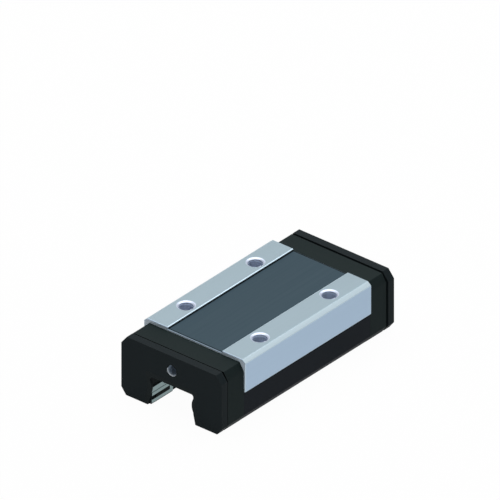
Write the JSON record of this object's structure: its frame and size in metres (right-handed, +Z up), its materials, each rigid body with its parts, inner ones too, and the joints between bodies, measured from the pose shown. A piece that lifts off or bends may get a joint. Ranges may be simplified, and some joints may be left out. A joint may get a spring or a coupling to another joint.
{
  "type": "linear bearing block",
  "caption": "Narrow carriage for a profiled rail: steel body with tapped top lands, black end caps and seals, and recirculating balls on both sides of the rail channel.",
  "frame": {"origin": "middle of the block's underside, below the centre of the rail channel", "axes": "+X across the rail, +Y along the rail, +Z up out of the mounting face"},
  "size_m": [0.044, 0.0896, 0.0239],
  "materials": {
    "ground_steel": "ground, with a dark recess",
    "moulded_black": "moulded, fine matt",
    "wiper_rubber": "smooth",
    "plated_insert": "plated, turned",
    "screw_steel": "blackened",
    "strip_steel": "bright rolled",
    "guide_plastic": "natural moulding",
    "tube_plastic": "natural extrusion",
    "ball_steel": "polished"
  },
  "bodies": {
    "carriage": {"carriage_body": "ground_steel", "front_end_cap": "moulded_black", "front_seal_plate": "moulded_black", "front_wiper": "wiper_rubber", "front_port_insert": "plated_insert", "front_cap_screws": "screw_steel", "front_right_turn_guide": "guide_plastic", "front_left_turn_guide": "guide_plastic", "rear_end_cap": "moulded_black", "rear_seal_plate": "moulded_black", "rear_wiper": "wiper_rubber", "rear_port_insert": "plated_insert", "rear_cap_screws": "screw_steel", "rear_right_turn_guide": "guide_plastic", "rear_left_turn_guide": "guide_plastic", "rear_port_plug": "screw_steel", "right_lower_frame": "moulded_black", "right_bottom_seal_strip": "strip_steel", "right_bottom_seal_lip": "wiper_rubber", "right_upper_retainer": "strip_steel", "right_lower_retainer": "strip_steel", "right_return_tube": "tube_plastic", "left_lower_frame": "moulded_black", "left_bottom_seal_strip": "strip_steel", "left_bottom_seal_lip": "wiper_rubber", "left_upper_retainer": "strip_steel", "left_lower_retainer": "strip_steel", "left_return_tube": "tube_plastic"},
    "front_right_turn_balls": {"front_right_turn_balls": "ball_steel"},
    "front_left_turn_balls": {"front_left_turn_balls": "ball_steel"},
    "rear_right_turn_balls": {"rear_right_turn_balls": "ball_steel"},
    "rear_left_turn_balls": {"rear_left_turn_balls": "ball_steel"},
    "right_load_balls": {"right_load_balls": "ball_steel"},
    "right_return_balls": {"right_return_balls": "ball_steel"},
    "left_load_balls": {"left_load_balls": "ball_steel"},
    "left_return_balls": {"left_return_balls": "ball_steel"}
  },
  "joints": [
    {"name": "right_ball_circulation", "type": "slide", "parent": "carriage", "child": "right_load_balls", "axis": [0, 1, 0], "range_m": [-0.00219, 0.00219]},
    {"name": "right_ball_return", "type": "slide", "parent": "carriage", "child": "right_return_balls", "axis": [0, 1, 0], "range_m": [-0.00219, 0.00219]},
    {"name": "front_right_ball_turn", "type": "hinge", "parent": "carriage", "child": "front_right_turn_balls", "pos_m": [0.01233, -0.0328, 0.01095], "axis": [0.8988, 0, -0.4384], "range_deg": [-30.1, 30.1]},
    {"name": "rear_right_ball_turn", "type": "hinge", "parent": "carriage", "child": "rear_right_turn_balls", "pos_m": [0.01233, 0.0328, 0.01095], "axis": [0.8988, 0, -0.4384], "range_deg": [-30.1, 30.1]},
    {"name": "left_ball_circulation", "type": "slide", "parent": "carriage", "child": "left_load_balls", "axis": [0, 1, 0], "range_m": [-0.00219, 0.00219]},
    {"name": "left_ball_return", "type": "slide", "parent": "carriage", "child": "left_return_balls", "axis": [0, 1, 0], "range_m": [-0.00219, 0.00219]},
    {"name": "front_left_ball_turn", "type": "hinge", "parent": "carriage", "child": "front_left_turn_balls", "pos_m": [-0.01233, -0.0328, 0.01095], "axis": [0.8988, 0, 0.4384], "range_deg": [-30.1, 30.1]},
    {"name": "rear_left_ball_turn", "type": "hinge", "parent": "carriage", "child": "rear_left_turn_balls", "pos_m": [-0.01233, 0.0328, 0.01095], "axis": [0.8988, 0, 0.4384], "range_deg": [-30.1, 30.1]}
  ],
  "couplings": [
    {"joint": "right_ball_return", "follows": "right_ball_circulation", "ratio": -1},
    {"joint": "front_right_ball_turn", "follows": "right_ball_circulation", "rad_per_m": 239.45},
    {"joint": "rear_right_ball_turn", "follows": "right_ball_circulation", "rad_per_m": 239.45},
    {"joint": "left_ball_return", "follows": "left_ball_circulation", "ratio": -1},
    {"joint": "front_left_ball_turn", "follows": "left_ball_circulation", "rad_per_m": 239.45},
    {"joint": "rear_left_ball_turn", "follows": "left_ball_circulation", "rad_per_m": 239.45}
  ]
}
